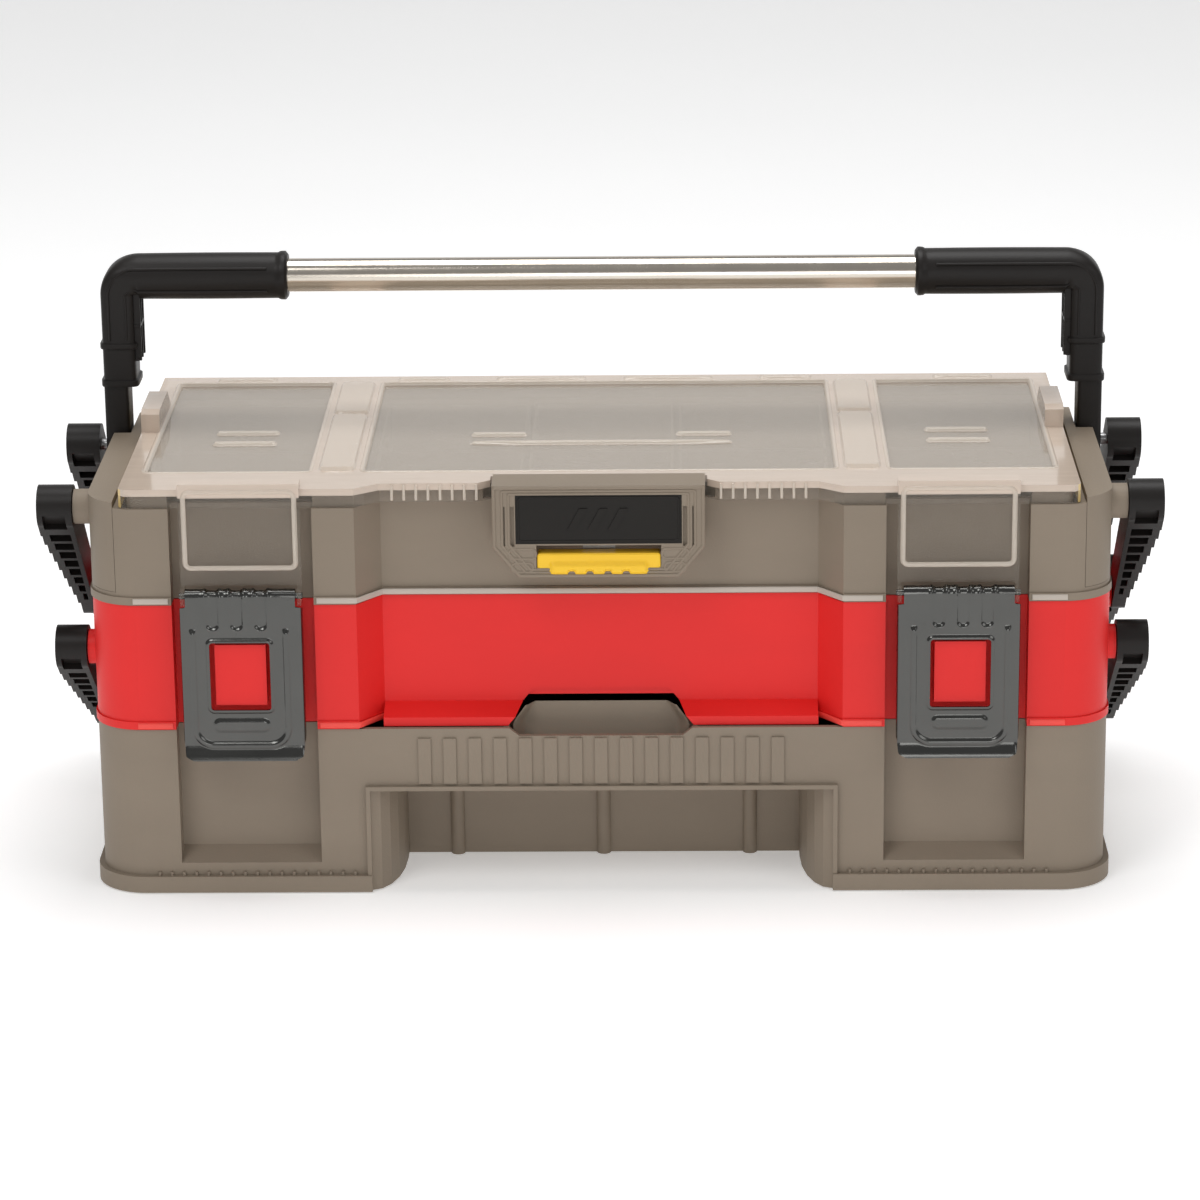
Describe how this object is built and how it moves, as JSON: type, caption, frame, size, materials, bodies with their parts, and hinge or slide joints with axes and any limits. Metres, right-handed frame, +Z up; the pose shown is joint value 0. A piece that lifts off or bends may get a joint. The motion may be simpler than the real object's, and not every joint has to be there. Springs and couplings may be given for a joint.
{
  "type": "cantilever toolbox",
  "caption": "Long plastic toolbox with a deep bin, two cantilever trays on end arms, a clear hinged lid, steel latches and a folding tube handle.",
  "frame": {"origin": "on the floor, under the middle of the whole box", "axes": "+X along the length, +Y towards the rear, +Z up"},
  "size_m": [0.562, 0.238, 0.2982],
  "materials": {
    "grey_plastic": "fine textured taupe grey moulding",
    "red_plastic": "fine textured bright red moulding",
    "black_plastic": "satin black moulding",
    "clear_plastic": "clear, slightly warm, glossy",
    "cup_plastic": "smooth light grey moulding",
    "badge_black": "gloss black",
    "yellow_plastic": "satin warm yellow",
    "handle_steel": "bright drawn tube",
    "zinc_steel": "zinc plated pressing",
    "pin_steel": "plain steel"
  },
  "bodies": {
    "base": {"base_bin": "grey_plastic", "base_pivot_pins": "pin_steel"},
    "lower_front_arms": {"lower_front_arm_left": "black_plastic", "lower_front_arm_right": "black_plastic"},
    "middle": {"middle_tray": "red_plastic", "tray_lower_pivot_pins": "pin_steel", "tray_upper_pivot_pins": "pin_steel"},
    "lower_rear_arms": {"lower_rear_arm_left": "black_plastic", "lower_rear_arm_right": "black_plastic"},
    "upper_front_arms": {"upper_front_arm_left": "black_plastic", "upper_front_arm_right": "black_plastic"},
    "top": {"top_tray": "grey_plastic", "end_cap_left": "grey_plastic", "end_cap_right": "grey_plastic", "front_housing": "grey_plastic", "badge_plate": "badge_black", "catch_spring": "pin_steel", "organizer_cups": "cup_plastic", "top_front_pivot_pins": "pin_steel", "handle_pivot_pins": "pin_steel", "lid_hinge_rod": "pin_steel"},
    "upper_rear_arms": {"upper_rear_arm_left": "black_plastic", "upper_rear_arm_right": "black_plastic"},
    "lid": {"clear_lid": "clear_plastic"},
    "handle": {"handle_tube": "handle_steel", "handle_elbow_left": "black_plastic", "handle_elbow_right": "black_plastic"},
    "catch": {"catch_slider": "yellow_plastic"},
    "latch_l": {"latch_plate_left": "zinc_steel", "latch_pin_left": "zinc_steel"},
    "latch_r": {"latch_plate_right": "zinc_steel", "latch_pin_right": "zinc_steel"}
  },
  "joints": [
    {"name": "lower_lift", "type": "hinge", "parent": "base", "child": "lower_front_arms", "pos_m": [0, -0.0025, 0.064], "axis": [-1, 0, 0], "range_deg": [0, 80]},
    {"name": "lower_level", "type": "hinge", "parent": "lower_front_arms", "child": "middle", "pos_m": [0, -0.074, 0.1205], "axis": [1, 0, 0], "range_deg": [0, 80]},
    {"name": "lower_rear_swing", "type": "hinge", "parent": "middle", "child": "lower_rear_arms", "pos_m": [0, 0.037, 0.1205], "axis": [-1, 0, 0], "range_deg": [0, 80]},
    {"name": "upper_lift", "type": "hinge", "parent": "middle", "child": "upper_front_arms", "pos_m": [0, -0.006, 0.126], "axis": [-1, 0, 0], "range_deg": [0, 80]},
    {"name": "upper_level", "type": "hinge", "parent": "upper_front_arms", "child": "top", "pos_m": [0, -0.076, 0.195], "axis": [1, 0, 0], "range_deg": [0, 80]},
    {"name": "upper_rear_swing", "type": "hinge", "parent": "top", "child": "upper_rear_arms", "pos_m": [0, 0.039, 0.195], "axis": [-1, 0, 0], "range_deg": [0, 80]},
    {"name": "lid_open", "type": "hinge", "parent": "top", "child": "lid", "pos_m": [0, 0.107, 0.2053], "axis": [-1, 0, 0], "range_deg": [0, 68]},
    {"name": "handle_fold", "type": "hinge", "parent": "top", "child": "handle", "pos_m": [0, 0.039, 0.195], "axis": [-1, 0, 0], "range_deg": [0, 61.2]},
    {"name": "catch_push", "type": "slide", "parent": "top", "child": "catch", "axis": [0, 0, 1], "range_m": [0, 0.004], "stiffness_N_per_m": 150},
    {"name": "latch_swing_left", "type": "hinge", "parent": "lid", "child": "latch_l", "pos_m": [-0.1775, -0.1126, 0.159], "axis": [-1, 0, 0], "range_deg": [0, 120]},
    {"name": "latch_swing_right", "type": "hinge", "parent": "lid", "child": "latch_r", "pos_m": [0.1775, -0.1126, 0.159], "axis": [-1, 0, 0], "range_deg": [0, 120]}
  ],
  "couplings": [
    {"joint": "lower_level", "follows": "lower_lift", "ratio": 1},
    {"joint": "lower_rear_swing", "follows": "lower_lift", "ratio": 1},
    {"joint": "upper_level", "follows": "upper_lift", "ratio": 1},
    {"joint": "upper_rear_swing", "follows": "upper_lift", "ratio": 1},
    {"joint": "handle_fold", "follows": "lid_open", "ratio": 0.9},
    {"joint": "latch_swing_left", "follows": "upper_lift", "ratio": 1.5},
    {"joint": "latch_swing_right", "follows": "upper_lift", "ratio": 1.5}
  ]
}
